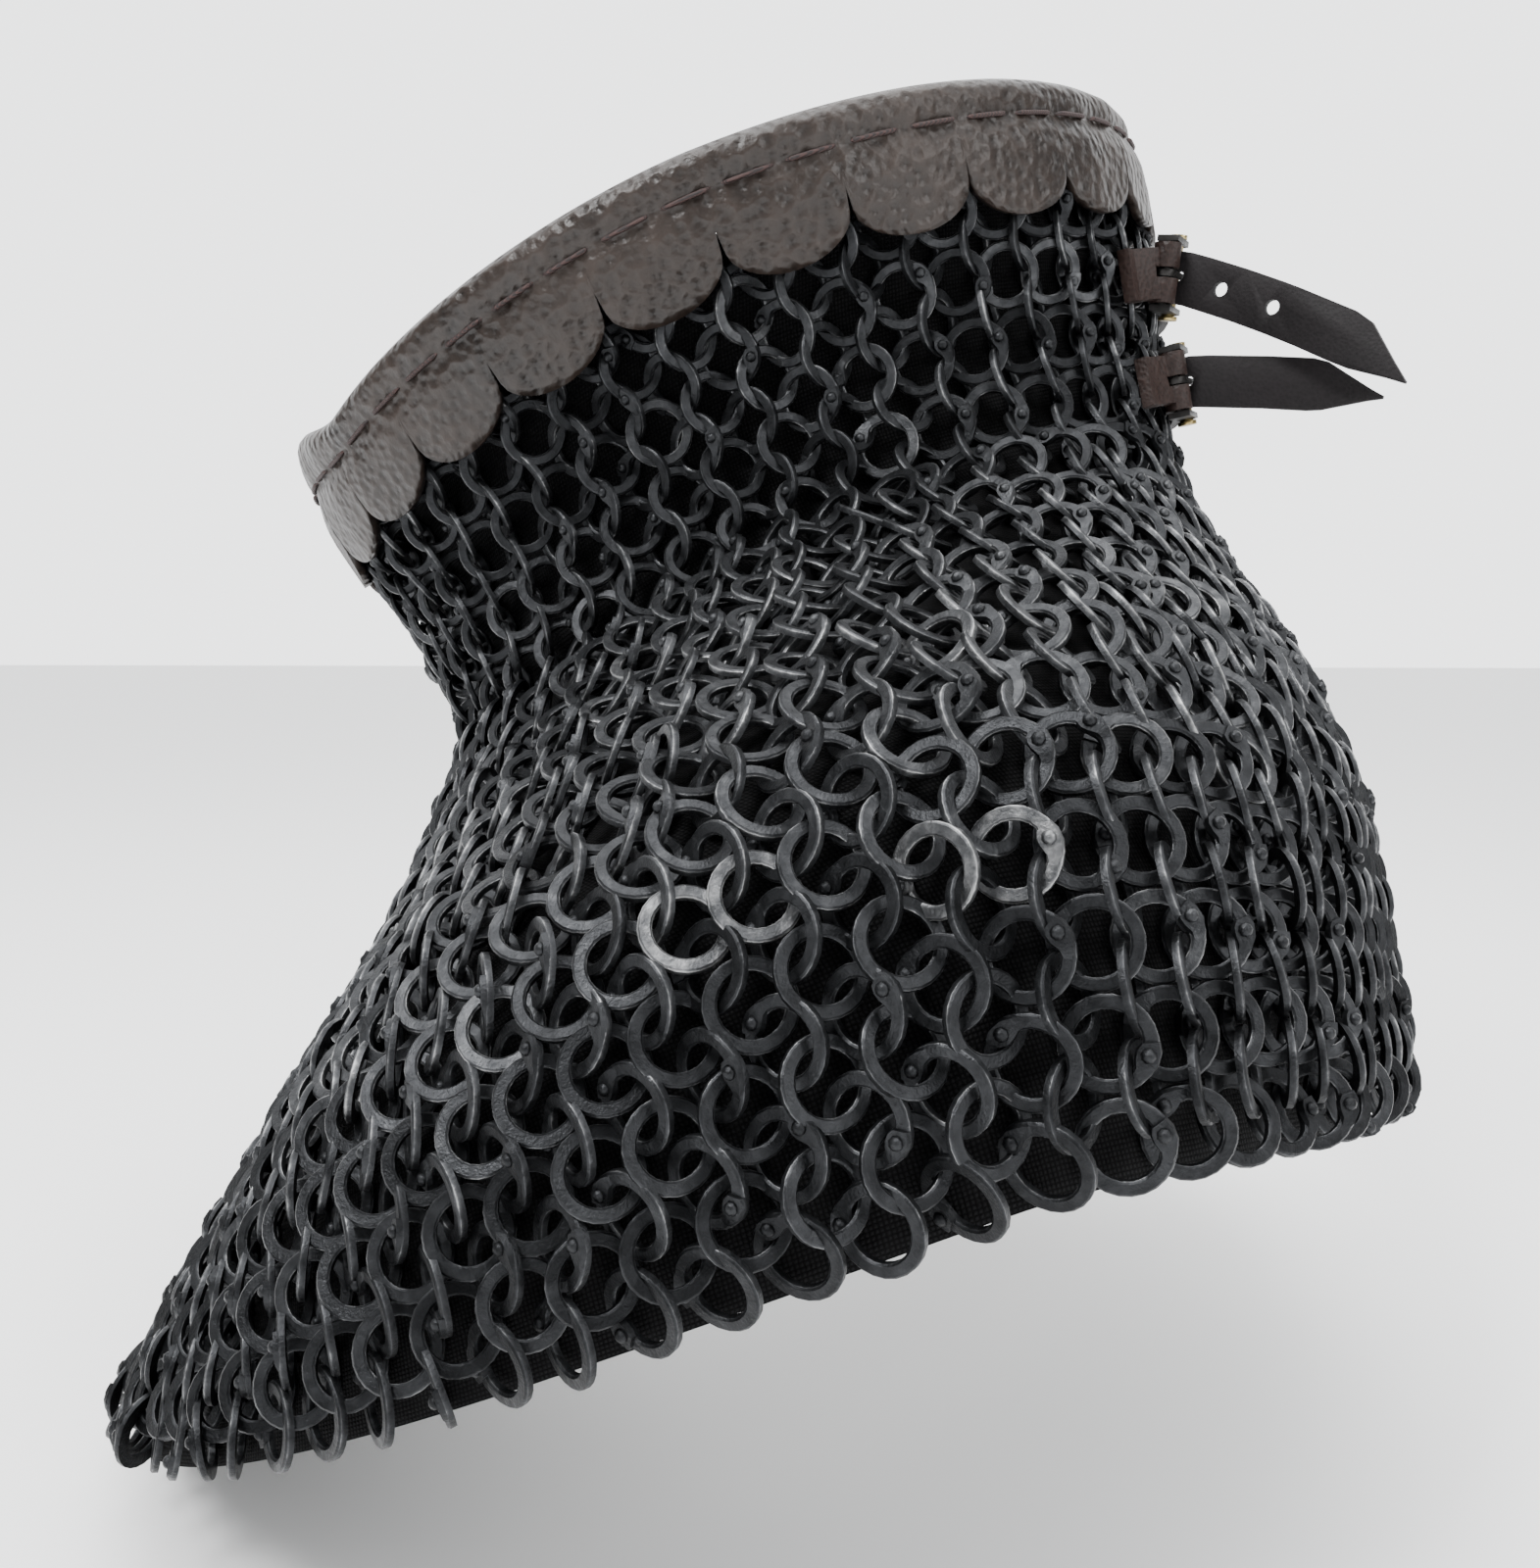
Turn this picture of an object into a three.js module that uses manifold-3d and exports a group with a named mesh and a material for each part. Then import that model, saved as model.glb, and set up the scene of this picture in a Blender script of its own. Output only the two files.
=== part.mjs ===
// A riveted mail gorget: a mail collar with a shoulder mantle in one sheet, backed with black cloth,
// a scalloped leather band folded over the rim, and two buckled straps at the back opening.
// Millimetres, +Z up, the wearer faces -Y and the wearer's left is +X.
// The origin is the middle of the neck base, where the shoulders carry the mail.
import * as THREE from 'three';
import { mergeVertices } from 'three/addons/utils/BufferGeometryUtils.js';
import Module from 'manifold-3d';

// Driving sizes
const ringOutside = 11;
const rowStep = 0.507 * ringOutside;
const collarLean = THREE.MathUtils.degToRad(20.5);
const mailDepth = 5.4;
const seamGap = 0.3;
const creaseGap = 0.55;
const clothThickness = 1.0;
const openingHalf = 3;

// Rows are counted down the mail from the neck base, so the collar's rows are negative
const rimRow = -10.6;
const mailTopRow = -8.6;
const hemRow = 23.6;
const clothTopRow = -8.15;
const clothHemRow = 23.5;

// Neck base: reach from the collar's axis, and height against its sides
const neckBase = { side: 76.7, front: 82.3, back: 70.6, frontDrop: 15.6, backDrop: 7.4 };

// How steeply the mail falls, in degrees below the collar's level, row by row
const falls = [
  { row: -10.6, side: 116, front: 106, back: 97 },
  { row: -6, side: 108, front: 103, back: 99 },
  { row: -3, side: 84, front: 98, back: 103 },
  { row: -0.8, side: 72, front: 92, back: 103 },
  { row: 0.6, side: 30, front: 57, back: 94 },
  { row: 3, side: 23, front: 53, back: 83 },
  { row: 7, side: 20, front: 49, back: 75 },
  { row: 10.5, side: 25, front: 42, back: 81 },
  { row: 13, side: 38, front: 38, back: 91 },
  { row: 15.5, side: 60, front: 36, back: 100 },
  { row: 18.5, side: 76, front: 34, back: 101 },
  { row: 24, side: 88, front: 34, back: 102 },
];

// Fullness of the plan outline: 2 is an ellipse, more is squarer
const neckFullness = 2.12;
const chestFullness = 2.33;
const backFullness = 1.79;
const fullnessRows = 12;
const shoulderForward = 7;

// The rim stands higher over the throat, by this height within this much of the front
const throatRise = 8;
const throatFrom = 0.78;
const throatPower = 8;

// Leather band
const scallopCount = 25;
const scallopFootRow = -6.8;
const scallopCuspRow = -8.1;
const bandInsideRow = -8.35;
const leatherThickness = 1.6;
const bandTopHalf = 2.4;

// Straps and buckles
const strapWidth = 9;
const strapThickness = 1.8;
const strapTip = 11;
const strapHoleRadius = 1.3;
const anchorAngle = -34;
const barAngle = 25;
const barRadius = 1.2;
const barClearance = 0.5;
const knobRadius = 1.7;
const knobLength = 0.7;
const frameReach = 6.8;
const armThickness = 1;
const armRound = 1.9;
const backRodRadius = 0.8;
const prongRadius = 0.6;
const prongTip = 2.4;
const eyeRadius = 1.8;
const chapeWidth = 9.2;
const chapeThickness = 2.2;
const chapeRodAngle = 30.4;
const chapeEndAngle = 36;
const loopRadius = 2.4;
const straps = [
  {
    name: 'upper',
    row: -4.9,
    tilt: 15,
    droop: 13,
    curl: 12,
    swing: 7,
    length: 46.8,
    skew: 2.2,
    holes: [10, 20.5],
  },
  {
    name: 'lower',
    row: -1.4,
    tilt: 1,
    droop: 12,
    curl: 7,
    swing: -5,
    length: 35.2,
    skew: 1.2,
    holes: [],
  },
];

const mailHalf = mailDepth / 2;
const outerFace = mailHalf + seamGap;
const bandClear = mailHalf + 0.5;
const clothOut = -mailHalf - seamGap;
const prongOverBar = barRadius + prongRadius + seamGap;

const colours = {
  mail: new THREE.MeshStandardMaterial({ color: 0x3d4044, roughness: 0.45, metalness: 0.85 }),
  cloth: new THREE.MeshStandardMaterial({ color: 0x0d0d0f, roughness: 0.95, metalness: 0 }),
  leather: new THREE.MeshStandardMaterial({ color: 0x4a413e, roughness: 0.7, metalness: 0 }),
  strap: new THREE.MeshStandardMaterial({ color: 0x2a2526, roughness: 0.65, metalness: 0 }),
  iron: new THREE.MeshStandardMaterial({ color: 0x1d1b1a, roughness: 0.5, metalness: 0.7 }),
  brass: new THREE.MeshStandardMaterial({ color: 0xb9a15a, roughness: 0.35, metalness: 0.9 }),
};

// The collar's own frame leans forward on the shoulders
const collar = new THREE.Group();
collar.rotation.x = collarLean;
const gorget = new THREE.Group();
gorget.add(collar);

function mix(a, b, t) {
  return a + (b - a) * t;
}

// The fall angle of one side at a row, read between the table's rows
function fallAt(row, side) {
  if (row <= falls[0].row) return falls[0][side];
  for (let i = 1; i < falls.length; i += 1) {
    const above = falls[i - 1];
    const below = falls[i];
    if (row <= below.row) {
      return mix(above[side], below[side], (row - above.row) / (below.row - above.row));
    }
  }
  return falls[falls.length - 1][side];
}

// Reach and height of one side at every tenth of a row, added up from the neck base
const profileStep = 0.1;
const profileFirst = -12;
const profileLast = 25;

function profile(side, reach, height) {
  const count = Math.round((profileLast - profileFirst) / profileStep);
  const base = Math.round(-profileFirst / profileStep);
  const points = new Array(count + 1);
  points[base] = { reach, height };
  const move = (from, sign) => {
    const row = profileFirst + (from + sign / 2) * profileStep;
    const fall = THREE.MathUtils.degToRad(fallAt(row, side));
    const length = sign * profileStep * rowStep;
    return {
      reach: points[from].reach + length * Math.cos(fall),
      height: points[from].height - length * Math.sin(fall),
    };
  };
  for (let i = base; i < count; i += 1) points[i + 1] = move(i, 1);
  for (let i = base; i > 0; i -= 1) points[i - 1] = move(i, -1);
  return points;
}

const profiles = {
  side: profile('side', neckBase.side, 0),
  front: profile('front', neckBase.front, -neckBase.frontDrop),
  back: profile('back', neckBase.back, -neckBase.backDrop),
};

function profileAt(side, row) {
  const place = (row - profileFirst) / profileStep;
  const i = Math.floor(place);
  const a = profiles[side][i];
  const b = profiles[side][i + 1];
  return { reach: mix(a.reach, b.reach, place - i), height: mix(a.height, b.height, place - i) };
}

// The middle of the mail at a row and an angle round the neck, 0 at the back and 90 at the left
function middle(row, degrees) {
  const angle = THREE.MathUtils.degToRad(degrees);
  const s = Math.sin(angle);
  const c = Math.cos(angle);
  const atBack = c > 0;
  const side = profileAt('side', row);
  const end = profileAt(atBack ? 'back' : 'front', row);
  const down = THREE.MathUtils.clamp(row / fullnessRows, 0, 1);
  const fullness = mix(neckFullness, atBack ? backFullness : chestFullness, down);
  const power = 2 / fullness;
  const forward = shoulderForward * THREE.MathUtils.clamp(row / hemRow, 0, 1);
  const drop = Math.abs(c) ** (atBack ? 2 : 1.5);
  const throat = THREE.MathUtils.smoothstep(-c, throatFrom, 1);
  const rise = throatRise * throat * Math.max(row / rimRow, 0) ** throatPower;
  return new THREE.Vector3(
    side.reach * Math.sign(s) * Math.abs(s) ** power,
    end.reach * Math.sign(c) * Math.abs(c) ** power - forward * (1 - c * c),
    mix(side.height, end.height, drop) + rise,
  );
}

const nudgeRow = 0.05;
const nudgeAngle = 0.4;

function downRow(row, degrees) {
  const a = middle(row - nudgeRow, degrees);
  return middle(row + nudgeRow, degrees).sub(a).normalize();
}

function aroundRow(row, degrees) {
  const a = middle(row, degrees - nudgeAngle);
  return middle(row, degrees + nudgeAngle).sub(a).normalize();
}

// A point of the mail moved out from its middle by a distance
function onMail(row, degrees, out) {
  const normal = new THREE.Vector3().crossVectors(aroundRow(row, degrees), downRow(row, degrees));
  return middle(row, degrees).addScaledVector(normal.normalize(), out);
}

// The angle at which a row comes to the edge of the back opening
function edgeAngle(row, gap) {
  const side = profileAt('side', row).reach;
  const down = THREE.MathUtils.clamp(row / fullnessRows, 0, 1);
  const power = 2 / mix(neckFullness, backFullness, down);
  return THREE.MathUtils.radToDeg(Math.asin((gap / side) ** (1 / power)));
}

// The faces between rings of points; a wall's two sides are split along the same diagonals
function sideFaces(rings) {
  const size = rings[0].length;
  const indices = [];
  for (let i = 0; i + 1 < rings.length; i += 1) {
    for (let j = 0; j < size; j += 1) {
      const a = i * size + j;
      const b = i * size + ((j + 1) % size);
      if (j < size / 2) {
        indices.push(a, b, b + size, a, b + size, a + size);
      } else {
        indices.push(a, b, a + size, b, b + size, a + size);
      }
    }
  }
  return indices;
}

function closedMesh(rings, indices) {
  const positions = rings.flat().flatMap((p) => [p.x, p.y, p.z]);
  const geometry = new THREE.BufferGeometry();
  geometry.setAttribute('position', new THREE.Float32BufferAttribute(positions, 3));
  geometry.setIndex(indices.filter((_, n) => !flatTriangle(indices, positions, n)));
  return outward(geometry);
}

// A closed mesh from sections whose two long sides face each other
function loft(rings) {
  const size = rings[0].length;
  const last = (rings.length - 1) * size;
  const indices = sideFaces(rings);
  for (let j = 0; j + 1 < size / 2; j += 1) {
    const k = size - 1 - j;
    indices.push(j, k, k - 1, j, k - 1, j + 1);
    indices.push(last + j, last + k - 1, last + k, last + j, last + j + 1, last + k - 1);
  }
  return closedMesh(rings, indices);
}

// A closed mesh from sections of any outline, with both ends triangulated
function shapedLoft(rings) {
  const last = (rings.length - 1) * rings[0].length;
  const indices = sideFaces(rings);
  capTriangles(rings[0]).forEach(([a, b, c]) => indices.push(a, c, b));
  capTriangles(rings[rings.length - 1]).forEach((abc) => indices.push(...abc.map((k) => last + k)));
  return closedMesh(rings, indices);
}

// Triangles of a flat outline, each in the outline's own direction
function capTriangles(ring) {
  const [origin, other, far] = [ring[0], ring[3], ring[7]];
  const u = new THREE.Vector3().subVectors(other, origin).normalize();
  const w = new THREE.Vector3().subVectors(far, origin);
  const v = w.clone().addScaledVector(u, -w.dot(u)).normalize();
  const outline = ring.map((p) => {
    const d = new THREE.Vector3().subVectors(p, origin);
    return new THREE.Vector2(d.dot(u), d.dot(v));
  });
  return THREE.ShapeUtils.triangulateShape(outline, []).map((abc) => abc.sort((a, b) => a - b));
}

// True where an index belongs to a triangle that has no area
function flatTriangle(indices, positions, n) {
  const first = n - (n % 3);
  const corners = [0, 1, 2].map((k) => (
    new THREE.Vector3().fromArray(positions, 3 * indices[first + k])
  ));
  const area = corners[1].sub(corners[0]).cross(corners[2].sub(corners[0])).length();
  return area < 1e-7;
}

function signedVolume(geometry) {
  const p = geometry.attributes.position;
  const index = geometry.index.array;
  const [a, b, c] = [new THREE.Vector3(), new THREE.Vector3(), new THREE.Vector3()];
  let volume = 0;
  for (let i = 0; i < index.length; i += 3) {
    a.fromBufferAttribute(p, index[i]);
    b.fromBufferAttribute(p, index[i + 1]);
    c.fromBufferAttribute(p, index[i + 2]);
    volume += a.dot(b.cross(c)) / 6;
  }
  return volume;
}

function outward(geometry) {
  if (signedVolume(geometry) < 0) {
    const index = geometry.index.array;
    for (let i = 0; i < index.length; i += 3) {
      [index[i + 1], index[i + 2]] = [index[i + 2], index[i + 1]];
    }
  }
  return geometry;
}

function addNode(name, geometry, material) {
  const mesh = new THREE.Mesh(geometry, material.clone());
  mesh.name = name;
  collar.add(mesh);
  return mesh;
}

// A curved wall between two rows and two angles, as a ring of points round each upright section
function wall({ rows, angles, faces }) {
  const rings = angles.map((angleOf) => {
    const outside = rows.map((row) => onMail(row, angleOf(row), faces.out));
    const inside = rows.map((row) => onMail(row, angleOf(row), faces.in));
    return [...outside, ...inside.reverse()];
  });
  return loft(rings);
}

function steps(from, to, count) {
  return Array.from({ length: count + 1 }, (_, i) => mix(from, to, i / count));
}

// Half the seam gap, turned into degrees at a row
function seamAngle(row, degrees) {
  const a = middle(row, degrees - nudgeAngle);
  const perDegree = middle(row, degrees + nudgeAngle).distanceTo(a) / (2 * nudgeAngle);
  return seamGap / 2 / perDegree;
}

// Angles across a panel, as functions of the row, since its ends follow a seam or the opening
function across(from, to, count) {
  return steps(0, 1, count).map((t) => (row) => mix(from(row), to(row), t));
}

const atOpening = (row) => edgeAngle(row, openingHalf);
const seamAfter = (degrees) => (row) => degrees + seamAngle(row, degrees);
const seamBefore = (degrees) => (row) => degrees - seamAngle(row, degrees);
const mirrored = (edge) => (row) => 360 - edge(row);

const seams = { back: 52, front: 122, middle: 180 };
const facets = { back: 6, shoulder: 8, front: 6 };

const panels = {
  back: across(atOpening, seamBefore(seams.back), facets.back),
  shoulder: across(seamAfter(seams.back), seamBefore(seams.front), facets.shoulder),
  front: across(seamAfter(seams.front), seamBefore(seams.middle), facets.front),
};

// A whole half, from the opening to the front middle, with its corners where the panels have theirs
const half = [
  ...across(atOpening, () => seams.back, facets.back),
  ...across(() => seams.back, () => seams.front, facets.shoulder).slice(1),
  ...across(() => seams.front, seamBefore(seams.middle), facets.front).slice(1),
];

// One panel on the wearer's left and its mirror on the right
function addPair(name, rows, angles, faces, material) {
  addNode(`${name}_left`, wall({ rows, angles, faces }), material);
  addNode(`${name}_right`, wall({ rows, angles: angles.map(mirrored), faces }), material);
}

const neckRows = [-6.5, -4, -2.2, -1.2];
const mantleRows = [0.8, 2, 4, 6.5, 9, 11.5, 13.5, 15.5, 18, 21];

function addMail() {
  const faces = { out: mailHalf, in: -mailHalf };
  const seamRow = creaseGap / 2 / rowStep;
  addPair('mail_neck', [mailTopRow, ...neckRows, -seamRow], half, faces, colours.mail);
  Object.entries(panels).forEach(([name, angles]) => {
    addPair(`mail_${name}`, [seamRow, ...mantleRows, hemRow], angles, faces, colours.mail);
  });
}

function addCloth() {
  const faces = { out: clothOut, in: clothOut - clothThickness };
  const rows = [clothTopRow, ...neckRows, 0, ...mantleRows, clothHemRow];
  addPair('cloth', rows, half, faces, colours.cloth);
}

// The band's lower edge, a row that dips in each scallop
function scallopRow(turn) {
  const within = (turn * scallopCount) % 1;
  const bulge = Math.sqrt(Math.max(0, 1 - (2 * within - 1) ** 2));
  return mix(scallopCuspRow, scallopFootRow, bulge);
}

// One upright section through the folded band: outer flap, rounded fold, inner flap, and the mail's slot
function bandSection(angle, lowRow) {
  const flapOut = bandClear + leatherThickness;
  const slotTopRow = mailTopRow - seamGap / rowStep;
  const shoulderRow = rimRow + 0.35;
  const outline = [
    [lowRow, flapOut], [slotTopRow - 0.2, flapOut], [shoulderRow, bandTopHalf],
    [rimRow, bandTopHalf * 0.5], [rimRow, -bandTopHalf * 0.5], [shoulderRow, -bandTopHalf],
    [slotTopRow - 0.2, -flapOut], [bandInsideRow, -flapOut], [bandInsideRow, -bandClear],
    [slotTopRow, -bandClear], [slotTopRow, bandClear], [lowRow, bandClear],
  ];
  return outline.map(([row, out]) => onMail(row, angle, out));
}

// The rim's angles at equal arc lengths, so that the scallops are all as wide
function equalArcs(row, from, to, count) {
  const fine = steps(from, to, 720);
  const lengths = [0];
  for (let i = 1; i < fine.length; i += 1) {
    lengths.push(lengths[i - 1] + middle(row, fine[i]).distanceTo(middle(row, fine[i - 1])));
  }
  const total = lengths[lengths.length - 1];
  let i = 0;
  return steps(0, total, count).map((target) => {
    while (i + 2 < lengths.length && lengths[i + 1] < target) i += 1;
    const t = (target - lengths[i]) / (lengths[i + 1] - lengths[i]);
    return mix(fine[i], fine[i + 1], t);
  });
}

function addLeatherBand() {
  const perScallop = 6;
  const edge = edgeAngle(scallopFootRow, openingHalf);
  const count = scallopCount * perScallop;
  const angles = equalArcs(scallopFootRow, edge, 360 - edge, count);
  const rings = angles.map((angle, i) => bandSection(angle, scallopRow(i / count)));
  addNode('leather_band', shapedLoft(rings), colours.leather);
}

const wasm = await Module();
wasm.setup();

function toSolid(geometry) {
  const bare = geometry.clone();
  Object.keys(bare.attributes).forEach((key) => {
    if (key !== 'position') bare.deleteAttribute(key);
  });
  const merged = mergeVertices(bare, 1e-5);
  return new wasm.Manifold(new wasm.Mesh({
    numProp: 3,
    vertProperties: new Float32Array(merged.attributes.position.array),
    triVerts: new Uint32Array(merged.index.array),
  }));
}

function toGeometry(solid) {
  const mesh = solid.getMesh();
  const geometry = new THREE.BufferGeometry();
  geometry.setAttribute('position', new THREE.BufferAttribute(mesh.vertProperties, 3));
  geometry.setIndex(new THREE.BufferAttribute(mesh.triVerts, 1));
  return geometry;
}

// The place of a buckle: its bar's middle, and axes along the strap, down the neck and outwards
function buckleFrame({ row, tilt }) {
  const along = aroundRow(row, barAngle);
  const down = downRow(row, barAngle);
  const out = new THREE.Vector3().crossVectors(along, down).normalize();
  down.crossVectors(out, along).normalize();
  const turn = THREE.MathUtils.degToRad(tilt);
  const radius = barRadius + barClearance + strapThickness / 2;
  const lift = (strapWidth / 2) * Math.sin(turn);
  const strapOut = outerFace + seamGap + strapThickness / 2;
  const middleOfBar = onMail(row, barAngle, strapOut + radius + lift);
  return {
    bar: middleOfBar,
    radius,
    strapOut,
    along,
    down: down.clone().multiplyScalar(Math.cos(turn)).addScaledVector(out, -Math.sin(turn)),
    out: out.clone().multiplyScalar(Math.cos(turn)).addScaledVector(down, Math.sin(turn)),
  };
}

// One station of a strap: its middle, its width direction and its flat side's direction
function station(centre, run, width) {
  const across = width.clone().addScaledVector(run, -width.dot(run)).normalize();
  return { centre, across, flat: new THREE.Vector3().crossVectors(run, across).normalize() };
}

const neckStations = 12;
const bendStations = 5;
const tailStations = 14;
const droopLength = 6;

// The strap lies on the neck, turns out round the buckle's bar, and its tail stands off and droops
function strapStations(strap, place) {
  const list = [];
  const lift = place.bar.distanceTo(onMail(strap.row, barAngle, place.strapOut)) - place.radius;
  steps(anchorAngle, barAngle, neckStations).forEach((angle) => {
    const t = THREE.MathUtils.smoothstep(angle, anchorAngle / 2, barAngle);
    const centre = onMail(strap.row, angle, place.strapOut + lift * t);
    const width = downRow(strap.row, angle).lerp(place.down, t);
    list.push(station(centre, aroundRow(strap.row, angle), width));
  });
  steps(0, Math.PI / 2, bendStations).slice(1).forEach((turn) => {
    const centre = atBuckle(
      place,
      place.radius * Math.sin(turn),
      0,
      -place.radius * Math.cos(turn),
    );
    const run = place.along.clone().multiplyScalar(Math.cos(turn))
      .addScaledVector(place.out, Math.sin(turn));
    list.push(station(centre, run, place.down));
  });
  const step = strap.length / tailStations;
  const centre = list[list.length - 1].centre.clone();
  steps(step, strap.length, tailStations - 1).forEach((length) => {
    const free = THREE.MathUtils.smoothstep(length, 0, droopLength);
    const droop = THREE.MathUtils.degToRad(strap.droop * free + strap.curl * (length / strap.length));
    const swing = THREE.MathUtils.degToRad(strap.swing * free);
    const away = place.out.clone().multiplyScalar(Math.cos(swing))
      .addScaledVector(place.along, Math.sin(swing));
    const run = away.clone().multiplyScalar(Math.cos(droop))
      .addScaledVector(place.down, Math.sin(droop));
    const width = place.down.clone().multiplyScalar(Math.cos(droop))
      .addScaledVector(away, -Math.sin(droop));
    centre.addScaledVector(run, step);
    list.push({ ...station(centre.clone(), run, width), length });
  });
  return list;
}

// Half the strap's width, which narrows to a point over the tip
function halfWidthAt(length, strap) {
  const left = strap.length - length;
  return (strapWidth / 2) * THREE.MathUtils.clamp(left / strapTip, 0.04, 1);
}

function strapSection(place, strap) {
  const length = place.length ?? 0;
  const half = halfWidthAt(length, strap);
  const skew = strap.skew * (1 - (2 * half) / strapWidth);
  return [[1, 1], [1, -1], [-1, -1], [-1, 1]].map(([side, face]) => place.centre.clone()
    .addScaledVector(place.across, side * half + skew)
    .addScaledVector(place.flat, (face * strapThickness) / 2));
}

function cylinderBetween(from, to, radius, sides = 16) {
  const geometry = new THREE.CylinderGeometry(radius, radius, from.distanceTo(to), sides);
  const run = new THREE.Vector3().subVectors(to, from).normalize();
  geometry.applyQuaternion(new THREE.Quaternion().setFromUnitVectors(new THREE.Vector3(0, 1, 0), run));
  geometry.translate(...from.clone().add(to).multiplyScalar(0.5).toArray());
  return geometry;
}

// A point given along, down and out from the buckle's bar
function atBuckle(place, along, down, out) {
  return place.bar.clone()
    .addScaledVector(place.along, along)
    .addScaledVector(place.down, down)
    .addScaledVector(place.out, out);
}

function boxAt(place, size, centre) {
  const geometry = new THREE.BoxGeometry(...size);
  const basis = new THREE.Matrix4().makeBasis(place.along, place.down, place.out);
  geometry.applyMatrix4(basis);
  geometry.translate(...atBuckle(place, ...centre).toArray());
  return toSolid(geometry);
}

// A rod across the buckle at a distance along the strap, between two heights
function crossRod(place, along, from, to, radius) {
  return toSolid(cylinderBetween(
    atBuckle(place, along, from, 0),
    atBuckle(place, along, to, 0),
    radius,
  ));
}

function union(solids) {
  return solids.reduce((sum, solid) => sum.add(solid));
}

// The height of the prong's middle over the bar's, at a distance along the strap
function prongHeight(along) {
  const back = (frameReach - along) / (frameReach + prongTip);
  return mix(eyeRadius - 0.3, prongOverBar + 0.25, back);
}

function addStrap(strap, place) {
  const stations = strapStations(strap, place);
  let solid = toSolid(loft(stations.map((one) => strapSection(one, strap))));
  const prongHole = [0, 2 * place.radius].map((along) => (
    atBuckle(place, along, 0, prongHeight(along))
  ));
  solid = solid.subtract(toSolid(cylinderBetween(...prongHole, prongRadius + seamGap)));
  strap.holes.forEach((length) => {
    const at = stations.reduce((best, one) => (
      Math.abs((one.length ?? -99) - length) < Math.abs((best.length ?? -99) - length) ? one : best
    ));
    const from = at.centre.clone().addScaledVector(at.flat, -3);
    const to = at.centre.clone().addScaledVector(at.flat, 3);
    solid = solid.subtract(toSolid(cylinderBetween(from, to, strapHoleRadius)));
  });
  addNode(`strap_${strap.name}`, toGeometry(solid), colours.strap);
}

const armInside = strapWidth / 2 + 0.95;
const armOutside = armInside + armThickness;
const knobFrom = armOutside + seamGap;

// A three-sided iron frame whose arms are bored for the brass bar
function addFrame(strap, place) {
  const arms = [-1, 1].map((side) => boxAt(
    place,
    [frameReach + armRound, armThickness, 2 * armRound],
    [frameReach / 2, (side * (armInside + armOutside)) / 2, 0],
  ));
  const frontEnds = [-1, 1].map((side) => (
    crossRod(place, 0, side * armInside, side * armOutside, armRound)
  ));
  const back = crossRod(place, frameReach, -armOutside + 0.2, armOutside - 0.2, backRodRadius);
  const bore = crossRod(place, 0, -knobFrom, knobFrom, barRadius + seamGap);
  const frame = union([...arms, ...frontEnds, back]).subtract(bore);
  addNode(`buckle_frame_${strap.name}`, toGeometry(frame), colours.iron);
}

function addBar(strap, place) {
  const shaft = crossRod(place, 0, -knobFrom - 0.3, knobFrom + 0.3, barRadius);
  const knobs = [-1, 1].map((side) => (
    crossRod(place, 0, side * knobFrom, side * (knobFrom + knobLength), knobRadius)
  ));
  addNode(`buckle_bar_${strap.name}`, toGeometry(union([shaft, ...knobs])), colours.brass);
}

// The prong turns on the frame's back rod and rests across the brass bar
function addProng(strap, place) {
  const eye = crossRod(place, frameReach, -prongRadius, prongRadius, eyeRadius);
  const eyeBore = crossRod(place, frameReach, -2, 2, backRodRadius + seamGap);
  const rod = toSolid(cylinderBetween(
    atBuckle(place, frameReach, 0, prongHeight(frameReach)),
    atBuckle(place, -prongTip, 0, prongHeight(-prongTip)),
    prongRadius,
    10,
  ));
  const prong = union([eye, rod]).subtract(eyeBore);
  addNode(`buckle_prong_${strap.name}`, toGeometry(prong), colours.iron);
}

// A leather chape on the mail, looped round the frame's back rod and notched for the prong
function addChape(strap, place) {
  const halfRows = chapeWidth / 2 / rowStep;
  const rod = atBuckle(place, frameReach, 0, 0);
  const flat = { in: outerFace + 0.2, out: outerFace + 0.2 + chapeThickness };
  const rodOut = rod.distanceTo(onMail(strap.row, chapeRodAngle, 0));
  const sections = [
    { angle: chapeEndAngle, in: flat.in, out: flat.out },
    { angle: chapeRodAngle + 4, in: flat.in, out: flat.out },
    { angle: chapeRodAngle + 2.2, in: mix(flat.in, rodOut, 0.45), out: mix(flat.out, rodOut, 0.6) },
    { angle: chapeRodAngle, in: rodOut - loopRadius + 0.5, out: rodOut + 0.5 },
  ];
  const plate = toSolid(loft(sections.map((one) => [
    onMail(strap.row - halfRows, one.angle, one.out),
    onMail(strap.row + halfRows, one.angle, one.out),
    onMail(strap.row + halfRows, one.angle, one.in),
    onMail(strap.row - halfRows, one.angle, one.in),
  ])));
  const reach = armInside - seamGap;
  const loop = crossRod(place, frameReach, -reach, reach, loopRadius);
  const bore = crossRod(place, frameReach, -2 * reach, 2 * reach, backRodRadius + seamGap);
  const notchSize = [2 * loopRadius + 3, 2 * prongRadius + 2 * seamGap, 9];
  const notch = boxAt(place, notchSize, [frameReach - 1, 0, 0]);
  const chape = union([plate, loop]).subtract(bore).subtract(notch);
  addNode(`chape_${strap.name}`, toGeometry(chape), colours.leather);
}

addMail();
addCloth();
addLeatherBand();
straps.forEach((strap) => {
  const place = buckleFrame(strap);
  addStrap(strap, place);
  addFrame(strap, place);
  addBar(strap, place);
  addProng(strap, place);
  addChape(strap, place);
});

export default gorget;
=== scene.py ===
import math

import bmesh
import bpy
import numpy as np
from mathutils import Matrix, Vector


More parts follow.
